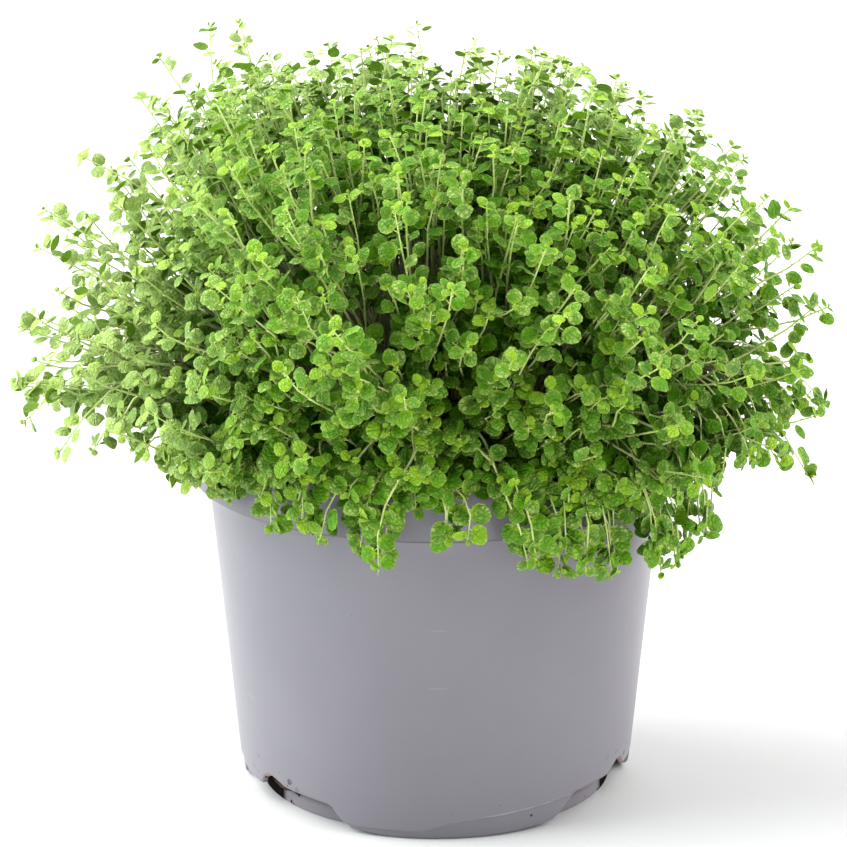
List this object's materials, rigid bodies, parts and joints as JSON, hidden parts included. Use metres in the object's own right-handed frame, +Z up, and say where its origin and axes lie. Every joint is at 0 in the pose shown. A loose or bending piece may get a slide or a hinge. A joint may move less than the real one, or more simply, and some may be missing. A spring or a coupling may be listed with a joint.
{
  "type": "potted houseplant",
  "caption": "Small-leaved creeping houseplant with a round leafy crown, growing in a plain tapered grey nursery pot with a collar and drain openings.",
  "frame": {"origin": "on the surface that the pot stands on, at the pot's axis, under the middle of the crown", "axes": "+Z up along the pot's axis, -Y towards the viewer of the picture, +X to that viewer's right"},
  "size_m": [0.2091, 0.2101, 0.1951],
  "materials": {
    "pot_plastic": "matte light grey with a faint violet tint, smooth moulded",
    "soil": "dark moist peat and bark crumbs",
    "leaf_green": "fresh bright green leaves with a soft sheen, on pale yellow-green stems"
  },
  "bodies": {
    "root": {"pot": "pot_plastic", "soil": "soil", "tuft_00": "leaf_green", "tuft_01": "leaf_green", "tuft_02": "leaf_green", "tuft_03": "leaf_green", "tuft_04": "leaf_green", "tuft_05": "leaf_green", "tuft_06": "leaf_green", "tuft_07": "leaf_green", "tuft_08": "leaf_green", "tuft_09": "leaf_green", "tuft_10": "leaf_green", "tuft_11": "leaf_green", "tuft_12": "leaf_green", "tuft_13": "leaf_green", "tuft_14": "leaf_green", "tuft_15": "leaf_green", "tuft_16": "leaf_green", "tuft_17": "leaf_green", "tuft_18": "leaf_green", "tuft_19": "leaf_green", "tuft_20": "leaf_green", "tuft_21": "leaf_green", "tuft_22": "leaf_green", "tuft_23": "leaf_green", "tuft_24": "leaf_green", "tuft_25": "leaf_green", "tuft_26": "leaf_green", "tuft_27": "leaf_green", "tuft_28": "leaf_green", "tuft_29": "leaf_green", "tuft_30": "leaf_green", "tuft_31": "leaf_green", "tuft_32": "leaf_green", "tuft_33": "leaf_green", "tuft_34": "leaf_green", "tuft_35": "leaf_green", "tuft_36": "leaf_green", "tuft_37": "leaf_green"}
  },
  "joints": []
}
